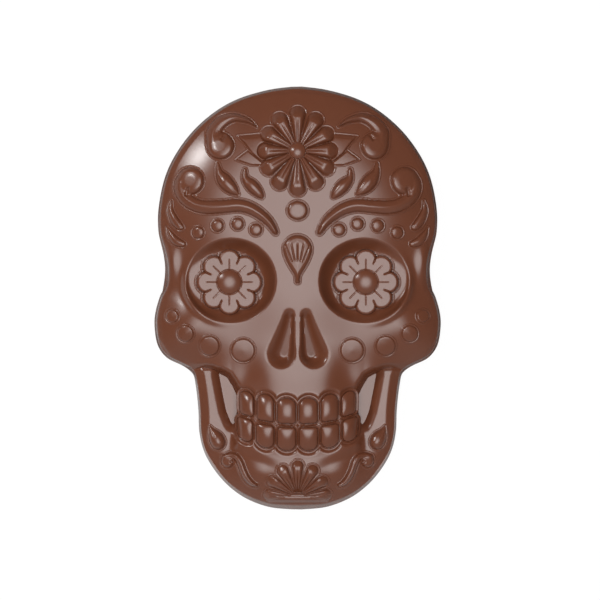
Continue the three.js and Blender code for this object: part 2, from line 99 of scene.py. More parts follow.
# Hollows. The walls, the roll and the rim of a socket are shares of its reach, from its middle outwards.
EYE_SOCKET = Form(x=18.4, y=4.8, rx=11.8, ry=11.1, floor=4.3, bowl=0.66, roll=0.06, wall=0.37,
                  outer_wall=0.1, nose_wall=0.29, nose_x=-0.82, nose_y=-0.57, nose_focus=6)
SOCKET_RIM = Form(rise=1.25, at=1.09, width=0.08, turn=22.0, focus=4)
NOSTRIL_ROWS = [(2.4, -4.4, 1.7), (3.1, -7.6, 2.3), (4.0, -11.6, 3.3), (4.7, -15.4, 4.4)]
NOSTRIL_FLOOR = [(1.9, -5.6, 0.3), (2.3, -8.4, 0.5), (2.9, -11.8, 0.85), (3.6, -15.0, 1.15)]
NOSTRIL = Form(foot_y=-15.0, floor=7.8, slope=0.24)

# The lower end of the cheekbone, led on round the teeth, and the flat floor of the gap beside them.
CHEEK_LINE = [(33.0, -20.8), (27.7, -20.4), (25.5, -20.2), (23.7, -20.5), (22.5, -21.0), (21.5, -21.2),
              (19.7, -22.2), (18.2, -24.6), (17.1, -26.9), (17.0, -31.6), (17.3, -33.5), (17.6, -36.0)]
BELOW_CHEEK = [(17.6, -70.0), (60.0, -70.0), (60.0, -20.8)]
GAP_FLOOR = [(21.6, -18.0), (21.6, -21.4), (20.9, -25.2), (20.3, -28.3), (19.6, -31.5), (18.5, -34.2),
             (18.0, -34.9), (17.3, -33.5), (16.8, -31.0), (16.8, -18.0)]
GAP = Form(cranium_wall=2.4, jaw_wall=2.9, floor=-0.3)

# Where the upper skull meets the jaw, and how far each goes on out of sight.
JOIN = Form(side=17.5, cheek=-19.1, teeth=1.6, under_cheek=1.6, under_teeth=2.6, reach=21.0, tuck=0.5)
BITE_DROP = Form(below=1.4, drop=0.4)
JAW_DIP = Form(y=-20.3, drop=0.5)

# Ornament strokes: rows of (x, y, half width) along the middle of each form.
STROKE_SAMPLES = 28
VOLUTE = [(23.3, 43.4, 1.95), (23.4, 46.0, 1.95), (21.3, 48.8, 1.75), (18.0, 50.1, 1.25), (15.3, 49.7, 0.95),
          (13.1, 48.8, 0.6), (11.4, 47.5, 0.15)]
VOLUTE_HEAD = (21.4, 42.2, 3.8)
VOLUTE_CURL = [(19.6, 46.1), (21.3, 43.4)]
BROW = [(32.6, 31.9, 1.7), (32.6, 29.9, 1.75), (30.9, 27.3, 1.85), (27.9, 25.6, 1.8), (24.7, 25.1, 1.85),
        (20.5, 25.3, 1.8), (16.3, 25.6, 1.75), (12.7, 24.6, 1.65), (9.5, 22.5, 1.4), (7.4, 20.3, 1.15),
        (6.1, 18.2, 0.75)]
BROW_HEAD = (29.8, 32.5, 3.85)
BROW_CURL = [(30.9, 28.0), (30.3, 31.0)]
CHIN_SCROLL = [(20.2, -44.1, 0.8), (18.7, -43.7, 0.9), (17.1, -44.2, 0.92), (16.0, -45.8, 0.95),
               (15.2, -48.0, 0.95), (14.1, -50.1, 0.9), (12.8, -51.5, 0.75), (11.5, -52.1, 0.45)]
CHIN_SCROLL_HEAD = (19.6, -45.4, 1.75)
CHIN_CURL = [(17.7, -45.6), (19.0, -45.4)]
LEAVES = {
    "sprig_leaf_outer": [(22.1, 37.2, 0.35), (21.7, 34.7, 1.0), (20.2, 32.4, 1.9), (18.4, 30.4, 1.6),
                         (16.5, 28.7, 0.3)],
    "sprig_leaf_inner": [(14.6, 35.4, 0.45), (14.4, 33.0, 0.95), (12.5, 30.9, 1.65), (10.8, 29.1, 1.2),
                         (9.9, 28.0, 0.5)],
    "temple_leaf_upper": [(35.1, 27.0, 0.15), (35.4, 24.4, 0.75), (34.3, 21.7, 1.15), (33.0, 20.0, 1.05),
                          (32.2, 19.5, 0.6)],
    "temple_leaf_lower": [(36.2, 19.5, 0.15), (35.3, 17.6, 0.8), (33.9, 15.8, 1.15), (32.4, 15.1, 0.95),
                          (31.8, 14.9, 0.7)],
    "jaw_drop": [(24.3, -35.6, 0.1), (23.7, -37.2, 0.95), (22.7, -39.0, 2.0), (22.2, -40.0, 2.15)],
}
NOSE_FAN = [(0.0, 13.4, 4.0), (0.0, 11.6, 3.35), (0.0, 9.6, 2.4), (0.0, 7.8, 1.45), (0.0, 6.2, 0.75),
            (0.0, 4.6, 0.6)]
FAN_RAYS = Form(x=0.0, y=6.4, count=5, spread=46.0)
FAN_CUT = Form(ends=(3.4, 9.4), half_width=0.2, depth=0.28)

# What all scrolls share, at the size of the largest: the ridge down the middle, the domed head and its cut.
SCROLL = Form(join=0.8, ridge=0.26, ridge_width=0.75, head_rise=0.32, cut_width=0.5, cut_depth=0.6)
HEAD_START = 0.3

# Round beads: centre and radius.
BROW_BEADS = [(11.5, 18.9, 1.7), (16.6, 20.5, 1.7), (22.2, 20.0, 1.7), (27.6, 18.1, 1.7)]
CHEEK_BEADS = [(15.1, -14.5, 3.25), (24.4, -13.3, 2.75), (31.1, -9.9, 2.3), (34.8, -5.0, 1.8)]
FOREHEAD_BEAD = Form(x=0.0, y=24.2, rx=2.8, ry=2.6)

# Flowers.
FOREHEAD_FLOWER = Form(x=0.0, y=40.7, petals=12, first=90.0, step=30.0, tip_x=11.1, tip_y=12.6, root=2.0,
                       tip_width=2.3, root_width=0.55, tip_fall=0.72, tip_length=3.4, groove=0.34, boss=2.2,
                       boss_foot=0.8, boss_rise=0.7, disc=2.6)
BOSS_COLLAR = Form(rise=0.3, reach=1.2, ramp=0.1)
EYE_FLOWER = Form(x=18.9, y=4.4, petals=8, tip=9.3, petal_radius=3.3, disc=6.3, boss=3.2, boss_foot=1.9,
                  boss_rise=0.85, moat=1.06, moat_width=0.05, moat_depth=0.25)
CHIN_FLOWER = Form(x=0.0, y=-55.2, petals=7, first=3.0, step=29.0, tip_x=9.6, tip_y=10.4, root=2.0,
                   tip_width=1.75, root_width=0.5, tip_fall=0.6, tip_length=2.8, groove=0.34, foot_y=-56.0,
                   lip_y=-54.2, lip_loss=0.6)
CHIN_BAR = Form(half_x=8.9, y=-55.8, half_y=1.1, rise=0.8)
CHIN_KNOT = Form(half_x=1.4, y=-53.9, half_y=0.4, rise=1.15)
CHIN_CORNER = 0.9
CHIN_EDGE = 0.1

# The groove down a petal: its half width, where it begins and ends along the petal, and its fades.
PETAL_GROOVE = Form(half_width=0.17, start=-0.3, start_fade=0.3, end=0.95, end_fade=0.5, edge=0.3)

# The cuts of an eye flower, by their turn in petals: down the petals, and between them.
EYE_CUTS = {
    0.0: Form(ends=(2.88, 6.882), half_width=0.13, depth=0.18),
    0.5: Form(ends=(8.556, 5.115), half_width=0.17, depth=0.38),
}
BLADES = {
    "flower_blade_upper": [(16.6, 44.9), (8.0, 45.7), (6.0, 40.0), (9.8, 37.6), (12.7, 40.0), (14.6, 42.7)],
    "flower_blade_lower": [(17.1, 38.3), (13.8, 40.8), (11.4, 38.9), (9.2, 37.1), (10.1, 36.7), (12.9, 36.8)],
}
BLADE_BEVEL = Form(start=(16.6, 44.9), end=(8.0, 45.7), width=1.3, drop=0.85)
BLADE_TUCK = 0.15

# Teeth, from the middle outwards: width and length. The bite line curves up to the sides.
UPPER_TEETH = [(5.45, 7.4), (5.05, 7.7), (4.3, 6.9)]
LOWER_TEETH = [(5.45, 6.8), (5.3, 6.7), (4.7, 6.6)]
TOOTH_SPACING = 0.6
TOOTH_BITE_GAP = 0.75
TOOTH_CORNERS = Form(root=2.7, bite=1.3)
TOOTH_MARGIN = 1.9
TOOTH_ROOT = 4.0
BITE_LINE = Form(y=-35.3, rise=3.6, end=17.0, power=2.4, lean=0.7)
GUM = Form(drop=1.0, width=1.5)

# The low round lip that runs round every ornament, outside the foot of the ornament's wall.
LIP = Form(foot=-0.62, edge=-0.54, crest=-0.31, floor=0.04, height=0.18)

# Heights of the ornaments above that lip, from none at their foot: at depths inside the foot of the wall, or,
# for the second group, at shares of the way from there to the middle line, for a form of full half width.
PROFILES = {
    "scroll": [(0.26, 0.66), (0.7, 1.0), (1.3, 1.17), (2.2, 1.23)],
    "small scroll": [(0.22, 0.6), (0.45, 0.82), (0.8, 0.94), (1.8, 0.9)],
    "bead": [(0.26, 0.6), (0.6, 0.76), (1.1, 0.86), (1.7, 0.89)],
    "low bead": [(0.22, 0.44), (0.45, 0.54), (3.0, 0.66)],
    "eye petal": [(0.34, 1.35), (0.56, 1.58), (0.95, 1.7), (3.0, 1.76)],
    "fan": [(0.3, 0.66), (0.9, 1.0), (2.0, 1.2), (4.0, 1.26)],
    "blade": [(0.18, 0.5), (0.4, 0.7), (4.0, 0.76)],
    "lower blade": [(0.16, 0.34), (0.35, 0.46), (4.0, 0.5)],
    "tooth": [(0.18, 0.36), (0.4, 0.48), (5.0, 0.5)],
}
SHARE_PROFILES = {
    "leaf": [(0.13, 0.52), (0.35, 0.88), (0.6, 1.1), (0.8, 1.2), (1.0, 1.23)],
    "petal": [(0.14, 0.56), (0.33, 1.0), (0.5, 1.18), (0.62, 1.23), (1.0, 1.25)],
    "chin petal": [(0.18, 0.62), (0.4, 1.0), (0.6, 1.14), (1.0, 1.18)],
}
FULL_WIDTH = Form(width=1.5, least=0.2, most=1.6)
TOOTH_DOME = Form(rise=1.3, ramp=0.25)

# Meshing: the skin's rows and columns, how they crowd towards its edge, and how low that lies. Then the cells
# of the ornaments, the room round their plans, and how their open edges are moved and go down.
SKIN = Form(rows=430, columns=260, by_arc=0.4, crowding=0.35, edge=0.1, lowest=0.4)
RELIEF_CELL = 0.11
MARGIN = 1.1
EDGE_REACH = 0.3
EDGE_SINK = 0.06
SKIRT = 0.3
SHARP_ANGLE = math.radians(55.0)

# How far the roughness of the gloss goes up and down.
ROUGHNESS_SPREAD = 0.03

# The studio, in metres, and the camera's place beside the middle, in pixels of the picture.
KEY_LAMP = Form(place=(-0.65, 0.48, 0.60), size=0.16)
TABLE = Form(half=3.0, drop=0.00002, white=0.88, gloss_slope=(-6.0, -4.0, 0.0), gloss_middle=0.5)
PICTURE_WIDTH = 600.0
CAMERA_PIXELS = (2.4, -2.0)


# Sizes and colours that a user would change

class SkullBarSizes(PropertyGroup):
    plate_thickness: FloatProperty(
        name="Plate thickness", description="Thickness of the flat back layer", unit="LENGTH",
        default=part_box("base_plate")[1][2])
    relief: FloatProperty(
        name="Relief", description="Height of the ornaments, as a share of the modelled one",
        default=1.0, min=0.0, max=1.2)


class SkullBarFinish(PropertyGroup):
    colour: FloatVectorProperty(
        name="Chocolate", description="Colour of the chocolate", subtype="COLOR", size=3,
        default=(0.114, 0.0357, 0.0172), min=0.0, max=1.0)
    dark_colour: FloatVectorProperty(
        name="Darker chocolate", description="Colour where the cocoa is a little darker", subtype="COLOR",
        size=3, default=(0.102, 0.0313, 0.0148), min=0.0, max=1.0)
    roughness: FloatProperty(
        name="Roughness", description="Mean roughness of the gloss", default=0.24, min=0.0, max=1.0)


class SkullBarStage(PropertyGroup):
    camera_height: FloatProperty(
        name="Camera height", description="Distance from the table to the camera", unit="LENGTH", default=1.2)
    frame_width: FloatProperty(
        name="Frame width", description="Width of the picture at the table", unit="LENGTH", default=0.1674)
    room_level: FloatProperty(
        name="Room level", description="Brightness of the room", default=0.12, min=0.0)
    fill_level: FloatProperty(
        name="Fill level", description="Added brightness of the room beyond the chin", default=0.45, min=0.0,
        max=1.0)
    patch_level: FloatProperty(
        name="Overhead level", description="Brightness of the soft patch overhead", default=5.6, min=0.0)
    patch_inner: FloatProperty(
        name="Overhead core", description="Half angle of the evenly bright part of the patch overhead",
        subtype="ANGLE", default=math.radians(11.0))
    patch_outer: FloatProperty(
        name="Overhead reach", description="Half angle at which the patch overhead has faded out",
        subtype="ANGLE", default=math.radians(34.0))
    key_power: FloatProperty(
        name="Key power", description="Power of the lamp at the upper left", unit="POWER", default=3.3)


def sizes():
    return bpy.context.scene.skull_bar_sizes


# The surface of the face, as functions of plan coordinates in millimetres

def smooth(value):
    """Smoothstep of a value that is 0 at the start of a ramp and 1 at its end."""
    share = np.clip(value, 0.0, 1.0)
    return share * share * (3.0 - 2.0 * share)


def steep(value, power=1.8):
    """A rise from 0 to 1 that is steepest at its foot."""
    return 1.0 - (1.0 - np.clip(value, 0.0, 1.0)) ** power


def soft_min(a, b, reach):
    """The lower of two heights, with the crease between them rounded over."""
    overlap = np.clip(reach - np.abs(a - b), 0.0, None) / reach
    return np.minimum(a, b) - overlap * overlap * reach / 4.0


def mound(x, y, middle_x, middle_y, reach_x, reach_y, rise):
    return rise * np.exp(-((x - middle_x) / reach_x) ** 2 - ((y - middle_y) / reach_y) ** 2)


def along_curve(rows, t):
    """Points of a smooth curve through rows, at shares t of the way along it."""
    rows = np.asarray(rows, dtype=float)
    position = np.clip(np.atleast_1d(t), 0.0, 1.0) * (len(rows) - 1)
    start = np.minimum(position.astype(int), len(rows) - 2)
    share = (position - start)[:, None]
    before, here = rows[np.maximum(start - 1, 0)], rows[start]
    there, after = rows[start + 1], rows[np.minimum(start + 2, len(rows) - 1)]
    lead, trail = (there - before) / 2.0, (after - here) / 2.0
    cubic = (2 * here - 2 * there + lead + trail) * share ** 3
    return cubic + (3 * there - 3 * here - 2 * lead - trail) * share ** 2 + lead * share + here


def outline_at(t, height, step=1e-4, least_x=0.6):
    """The outline at a height on the drafted wall, at shares t from crown to chin."""
    point = along_curve(OUTLINE, t)
    inset = height / wall_slope(point[:, 1])
    heading = along_curve(OUTLINE, t + step) - along_curve(OUTLINE, t - step)
    heading /= np.linalg.norm(heading, axis=1)[:, None]
    x = np.maximum(point[:, 0] + heading[:, 1] * inset, least_x)
    return x, point[:, 1] - heading[:, 0] * inset


def to_piece(x, y, start, end):
    """The nearest share of the way along a straight piece, and the distance to it."""
    dx, dy = end[0] - start[0], end[1] - start[1]
    share = np.clip(((x - start[0]) * dx + (y - start[1]) * dy) / (dx ** 2 + dy ** 2), 0.0, 1.0)
    return share, np.hypot(x - start[0] - share * dx, y - start[1] - share * dy)


def distance_to_chain(x, y, chain):
    """Distance from points to a chain of straight pieces."""
    nearest = np.full(x.shape, np.inf)
    for start, end in zip(chain[:-1], chain[1:]):
        nearest = np.minimum(nearest, to_piece(x, y, start, end)[1])
    return nearest


def from_outline(x, y, samples=150):
    """Distance from the outline, which is led over the middle at both ends."""
    line = along_curve(OUTLINE, np.linspace(0.0, 1.0, samples))
    line = np.vstack([line[0] * (-1.0, 1.0), line, line[-1] * (-1.0, 1.0)])
    return distance_to_chain(np.abs(x), y, line)


def stroke_parts(x, y, rows, samples=STROKE_SAMPLES):
    """How deep points lie inside a stroke of changing width, and its half width beside them."""
    points = along_curve(rows, np.linspace(0.0, 1.0, samples))
    depth = np.full(x.shape, -np.inf)
    width = np.zeros(x.shape)
    for start, end in zip(points[:-1], points[1:]):
        share, away = to_piece(x, y, start, end)
        own_width = start[2] + (end[2] - start[2]) * share
        width = np.where(own_width - away > depth, own_width, width)
        depth = np.maximum(depth, own_width - away)
    return depth, width


def stroke(x, y, rows, samples=STROKE_SAMPLES):
    """How deep points lie inside a stroke: positive inside, negative outside."""
    return stroke_parts(x, y, rows, samples)[0]


def disc(x, y, row):
    return row[2] - np.hypot(x - row[0], y - row[1])


def rounded_box(x, y, half_x, half_y, corner):
    """How deep points lie inside a box about the origin with round corners."""
    dx = np.abs(x) - (half_x - corner)
    dy = np.abs(y) - (half_y - corner)
    outside = np.hypot(np.clip(dx, 0.0, None), np.clip(dy, 0.0, None))
    return corner - outside - np.minimum(np.maximum(dx, dy), 0.0)


def tooth_places(row):
    """Centre, size and slant of the three teeth on the +X side of a row."""
    teeth, root_side = (UPPER_TEETH, 1.0) if row == "upper" else (LOWER_TEETH, -1.0)
    inner = TOOTH_SPACING / 2.0
    for width, length in teeth:
        x = inner + width / 2.0
        rise = BITE_LINE.rise * (x / BITE_LINE.end) ** BITE_LINE.power
        slant = BITE_LINE.power * rise / x * BITE_LINE.lean
        y = BITE_LINE.y + rise + root_side * (TOOTH_BITE_GAP + length) / 2.0
        yield Form(x=x, y=y, width=width, length=length, slant=slant, root=root_side)
        inner += width + TOOTH_SPACING


def tooth_frame(x, y, tooth):
    """Plan coordinates across a tooth and up it towards the root, from its middle."""
    across = x - tooth.x
    return across, (y - tooth.y - tooth.slant * across) * tooth.root


def tooth_depth(x, y, tooth):
    """How deep points on the +X side lie inside the plan of a tooth."""
    across, up = tooth_frame(x, y, tooth)
    blend = smooth(up / tooth.length + 0.5)
    corner = TOOTH_CORNERS.bite + (TOOTH_CORNERS.root - TOOTH_CORNERS.bite) * blend
    corner = np.minimum(corner, tooth.width / 2.0)
    return rounded_box(across, up, tooth.width / 2.0, tooth.length / 2.0, corner)


def teeth_depth(x, y):
    """How deep points lie inside the plan of the nearest tooth."""
    depth = np.full(x.shape, -np.inf)
    for row in ("upper", "lower"):
        for tooth in tooth_places(row):
            depth = np.maximum(depth, tooth_depth(np.abs(x), y, tooth))
    return depth


def bite_line(x):
    return BITE_LINE.y + BITE_LINE.rise * (np.abs(x) / BITE_LINE.end) ** BITE_LINE.power


def wall_slope(y):
    """Steepness of the drafted wall, which leans back more round the chin."""
    chin = smooth((WALL.chin_y - y) / WALL.chin_reach)
    return WALL.slope + (WALL.chin_slope - WALL.slope) * chin


def within_wall(height, inset, y):
    """The face cut off by the drafted wall."""
    return soft_min(height, inset * wall_slope(y), WALL.round)


def shoulder(inset, form):
    """Height of the bevelled edge and of the rise inside the crease, at a distance from the outline."""
    inwards = np.clip((inset - CREASE.inset) / form.width, 0.0, 1.0)
    bevel = np.minimum(inset - CREASE.inset, 0.0) * CREASE.bevel
    return CREASE.height + bevel + form.rise * (1.0 - (1.0 - inwards) ** form.roundness)


def muzzle(x, y):
    """The arch that carries the teeth."""
    arch = np.clip(1.0 - (np.abs(x) / MUZZLE.rx) ** MUZZLE.flatness, 0.0, None) ** MUZZLE.roundness
    return MUZZLE.rise * arch * np.exp(-((y - MUZZLE.y) / MUZZLE.ry) ** 2)


def upper_face(x, y, inset):
    """Height of the upper skull above the flat back, before its hollows."""
    side = np.abs(x)
    from_crown = (side / SKULLCAP.rx) ** 2 + ((y - SKULLCAP.y) / SKULLCAP.ry) ** 2
    broad = SKULLCAP.rise * np.clip(1.0 - from_crown, 0.0, None) ** 2
    for form in (CHEEKBONE, TEMPLE, NASAL_RIDGE, LIP_VALLEY):
        broad = broad + mound(side, y, *form)
    cheek = shoulder(inset, CHEEK_SHOULDER)
    above = smooth((y - CHEEK_TOP.y) / CHEEK_TOP.length)
    return cheek + (shoulder(inset, SHOULDER) - cheek) * above + broad + muzzle(x, y)


def jaw_face(x, y, inset):
    """Height of the chin and the branches of the jaw above the flat back, before the gaps."""
    side = np.abs(x)
    branch = smooth((side - RAMUS.inner) / (RAMUS.outer - RAMUS.inner))
    branch = branch * smooth((y - RAMUS.foot) / (RAMUS.top - RAMUS.foot))
    low = shoulder(inset, RAMUS_SHOULDER)
    full = shoulder(inset, JAW)
    broad = sum(mound(side, y, *form) for form in (NASAL_RIDGE, CHIN_BOSS, CHIN_SIDE, MOUTH_CORNER))
    g = GUM_LEDGE
    below = g.y + g.lift * (side / g.end) ** g.power - y
    ledge = g.drop * smooth(below / g.width) * smooth((side - g.start) / g.ramp)
    return full + (low - full) * branch + (broad - ledge) * (1.0 - branch) + muzzle(x, y)


def plate_top():
    return sizes().plate_thickness / MM


def socket_floor():
    """Height of the floor of an eye socket."""
    return plate_top() + EYE_SOCKET.floor


def with_socket(x, y, height):
    """The face with its eye sockets, each with a rim below the temple."""
    s, r = EYE_SOCKET, SOCKET_RIM
    across, up = (np.abs(x) - s.x) / s.rx, (y - s.y) / s.ry
    reach = np.hypot(across, up)
    wall = s.wall + (s.outer_wall - s.wall) * np.clip(across, 0.0, 1.0) ** 2
    to_nose = np.clip((s.nose_x * across + s.nose_y * up) / np.maximum(reach, 0.1), 0.0, 1.0)
    wall = wall + (s.nose_wall - s.wall) * to_nose ** s.nose_focus
    share = smooth(np.clip((1.0 + s.roll - reach) / wall, 0.0, 1.0) ** s.bowl)
    turned = np.arctan2(up, across) + math.radians(r.turn)
    rim = r.rise * np.clip(np.cos(turned), 0.0, 1.0) ** r.focus
    rim = rim * np.exp(-((reach - r.at) / r.width) ** 2)
    return (height + rim) * (1.0 - share) + socket_floor() * share


def with_nostrils(x, y, height, samples=16, tiny=1e-6):
    """The face with its two pear-shaped nostrils, shallower at their narrow ends."""
    depth = np.clip(stroke(np.abs(x), y, NOSTRIL_ROWS, samples), 0.0, None)
    to_floor = np.clip(-stroke(np.abs(x), y, NOSTRIL_FLOOR, samples), 0.0, None)
    share = smooth(depth / (depth + to_floor + tiny))
    floor = NOSTRIL.floor + NOSTRIL.slope * (y - NOSTRIL.foot_y)
    return height * (1.0 - share) + floor * share


def with_gum(x, y, height):
    """The face let down round the teeth."""
    return height - GUM.drop * smooth(teeth_depth(x, y) / GUM.width + 1.0)


def let_down(x, y, height, corners, wall):
    """The face with a hollow down to the floor beside the teeth, inside the corners of a plan."""
    floor = plate_top() + GAP.floor
    return floor + (height - floor) * steep(-inside_polygon(np.abs(x), y, corners) / wall)


def cranium_height(x, y):
    """Height of the upper skull: it falls away below the cheekbones and into the gaps beside the teeth."""
    inset = from_outline(x, y)
    height = with_gum(x, y, with_nostrils(x, y, with_socket(x, y, upper_face(x, y, inset))))
    height = height - BITE_DROP.drop * smooth(bite_line(x) - BITE_DROP.below - y)
    return within_wall(let_down(x, y, height, CHEEK_LINE + BELOW_CHEEK, GAP.cranium_wall), inset, y)


def jaw_height(x, y):
    """Height of the chin and of the branches, which dip out of sight under the cheekbones."""
    inset = from_outline(x, y)
    height = let_down(x, y, with_gum(x, y, jaw_face(x, y, inset)), GAP_FLOOR, GAP.jaw_wall)
    return within_wall(height, inset, y) - JAW_DIP.drop * smooth(y - JAW_DIP.y)


def face_height(x, y):
    """Height of whatever face carries an ornament."""
    upper = y > np.where(np.abs(x) < JOIN.side, bite_line(x) - JOIN.teeth, JOIN.cheek)
    return np.where(upper, cranium_height(x, y), jaw_height(x, y))


# Mesh making

def coordinates(verts):
    """Plan coordinates and heights of vertices, in millimetres."""
    return np.array([v.co[:] for v in verts]).reshape(-1, 3) / MM


def place(verts, x, y, z):
    for vert, co in zip(verts, np.stack([x, y, z], axis=1) * MM):
        vert.co = co


def extrude_rim(bm):
    """Extrudes the open edge of a surface in place and gives the new vertices."""
    rim = [edge for edge in bm.edges if len(edge.link_faces) < 2]
    made = bmesh.ops.extrude_edge_only(bm, edges=rim)["geom"]
    return [item for item in made if isinstance(item, bmesh.types.BMVert)]


def close_below(bm, drop):
    """Gives an open surface a skirt and a floor, so that it is a closed solid."""
    bmesh.ops.translate(bm, verts=extrude_rim(bm), vec=(0.0, 0.0, -drop * MM))
    bmesh.ops.holes_fill(bm, edges=[edge for edge in bm.edges if edge.is_boundary], sides=0)


def finish_piece(bm, node):
    """Makes the piece that stands for a CAD node and gives it its finish."""
    bmesh.ops.recalc_face_normals(bm, faces=bm.faces)
    mesh = bpy.data.meshes.new("moulded_" + node)
    bm.to_mesh(mesh)
    mesh.shade_smooth()
    mesh.set_sharp_from_angle(angle=SHARP_ANGLE)
    piece = bpy.data.objects.new("moulded_" + node, mesh)
    bpy.context.scene.collection.objects.link(piece)
    mesh.materials.append(chocolate())
    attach(piece, BODY)
    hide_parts(node)


def grid_bmesh(columns, rows):
    """A flat grid whose corners are at -1 and 1, in millimetres."""
    bm = bmesh.new()
    bmesh.ops.create_grid(bm, x_segments=columns, y_segments=rows, size=MM)
    return bm


def drop_verts(bm, unwanted):
    """Trims a surface, and then what would hang on by a point or an edge."""
    bm.verts.ensure_lookup_table()
    gone = [bm.verts[i] for i in np.nonzero(unwanted)[0]]
    while gone:
        bmesh.ops.delete(bm, geom=gone, context="VERTS")
        bmesh.ops.delete(bm, geom=[edge for edge in bm.edges if not edge.link_faces], context="EDGES")
        gone = [v for v in bm.verts if not v.link_faces or sum(edge.is_boundary for edge in v.link_edges) > 2]


def onto_contour(x, y, depth_of, level, reach, probe=0.02, least_slope=0.3):
    """Moves the points within reach of a contour of a plan onto it."""
    depth = depth_of(x, y)
    slope_x = (depth_of(x + probe, y) - depth) / probe
    slope_y = (depth_of(x, y + probe) - depth) / probe
    shift = np.where(np.abs(depth - level) < reach, level - depth, 0.0)
    shift /= np.maximum(slope_x ** 2 + slope_y ** 2, least_slope)
    return x + slope_x * shift, y + slope_y * shift


def relief(depth, profile, soft=0.05):
    """Height of an ornament above the face at a depth inside the foot of its wall."""
    depths, heights = zip((0.0, 0.0), *PROFILES[profile])
    body = sum(np.interp(depth + shift, depths, heights) for shift in (-soft, 0.0, soft)) / 3.0
    return lip(depth) + body * sizes().relief


def share_relief(depth, width, profile):
    """Height of an ornament whose section keeps its form and is lower where it is narrow."""
    shares, heights = zip((0.0, 0.0), *SHARE_PROFILES[profile])
    share = np.clip(width / FULL_WIDTH.width, FULL_WIDTH.least, FULL_WIDTH.most)
    return lip(depth) + np.interp(depth / width, shares, heights) * share * sizes().relief


def lip(depth):
    """Height of the lip round an ornament and of the narrow floor between it and the wall."""
    off_crest = (depth - LIP.crest) / (LIP.crest - LIP.edge)
    return LIP.floor + (LIP.height - LIP.floor) * np.clip(1.0 - off_crest ** 2, 0.0, None)


def ornament(name, box, depth_of, height_of, both=True, base_of=None, skirt=SKIRT):
    """Lays an ornament on the face: depth_of gives its plan, height_of its relief at each depth."""
    base_of = base_of or face_height
    low, high = np.asarray(box[0]), np.asarray(box[1])
    columns, rows = ((high - low) / RELIEF_CELL).astype(int)
    bm = grid_bmesh(columns, rows)
    x, y = (low + (coordinates(bm.verts)[:, :2] + 1.0) / 2.0 * (high - low)).T
    for level in (0.0, LIP.crest):
        x, y = onto_contour(x, y, depth_of, level, RELIEF_CELL * 0.5)
    place(bm.verts, x, y, 0.0 * x)
    drop_verts(bm, depth_of(x, y) < LIP.edge)

    x, y, _ = coordinates(bm.verts).T
    rim = np.array([v.is_boundary for v in bm.verts])
    for _ in range(3):
        x[rim], y[rim] = onto_contour(x[rim], y[rim], depth_of, LIP.edge, EDGE_REACH)
    place(bm.verts, x, y, base_of(x, y) + height_of(x, y, depth_of(x, y)))

    foot = extrude_rim(bm)
    x, y, _ = coordinates(foot).T
    x, y = onto_contour(x, y, depth_of, LIP.foot, EDGE_REACH)
    place(foot, x, y, base_of(x, y) - EDGE_SINK)
    close_below(bm, skirt)
    if both:
        finish_piece(bm, name + "_right")
        bmesh.ops.scale(bm, verts=bm.verts, vec=(-1.0, 1.0, 1.0))
        finish_piece(bm, name + "_left")
    else:
        finish_piece(bm, name)
    bm.free()


def box_round(rows):
    """The plan box of a stroke, its lip included."""
    rows = np.asarray(rows)
    reach = rows[:, 2:3] + MARGIN
    return (rows[:, :2] - reach).min(axis=0), (rows[:, :2] + reach).max(axis=0)


def groove(offset, half_width, depth):
    """A narrow incised line."""
    return -depth * np.exp(-(offset / half_width) ** 2)


def on_line(x, y, start, end):
    """Distance across a line from start to end, and the share of the way along it."""
    dx, dy = end[0] - start[0], end[1] - start[1]
    length = math.hypot(dx, dy)
    along = ((x - start[0]) * dx + (y - start[1]) * dy) / length ** 2
    across = ((x - start[0]) * dy - (y - start[1]) * dx) / length
    return across, along


def inside_polygon(x, y, corners):
    """How deep points lie inside a polygon: positive inside, negative outside."""
    inside = np.zeros(x.shape, dtype=bool)
    for (ax, ay), (bx, by) in zip(corners, corners[1:] + corners[:1]):
        crosses = (ay > y) != (by > y)
        inside ^= crosses & (x < ax + (y - ay) * (bx - ax) / (by - ay if by != ay else 1.0))
    away = distance_to_chain(x, y, np.asarray(corners + corners[:1]))
    return np.where(inside, away, -away)


def incised(x, y, start, end, half_width, depth, fades=(0.15, 0.25)):
    """A line cut into the surface, fading out at both ends."""
    across, along = on_line(x, y, start, end)
    return groove(across, half_width, depth) * smooth(along / fades[0]) * smooth((1.0 - along) / fades[1])


def incised_ray(x, y, form, angle, cut):
    """A line cut outwards from the middle of a form, between two distances from it."""
    ends = [(form.x + math.cos(angle) * r, form.y + math.sin(angle) * r) for r in cut.ends]
    return incised(x, y, *ends, cut.half_width, cut.depth)


def petals_of(flower):
    """The root and the round tip of each petal, as rows of x, y and half width."""
    for number in range(flower.petals):
        angle = math.radians(flower.first + number * flower.step)
        reach = 1.0 / math.hypot(math.cos(angle) / flower.tip_x, math.sin(angle) / flower.tip_y)
        ends = (flower.root, flower.root_width), (reach - flower.tip_width, flower.tip_width)
        yield [(flower.x + math.cos(angle) * r, flower.y + math.sin(angle) * r, w) for r, w in ends]


def petals_depth(x, y, flower):
    depth = np.full(x.shape, -np.inf)
    for rows in petals_of(flower):
        depth = np.maximum(depth, stroke(x, y, rows, 2))
    return depth


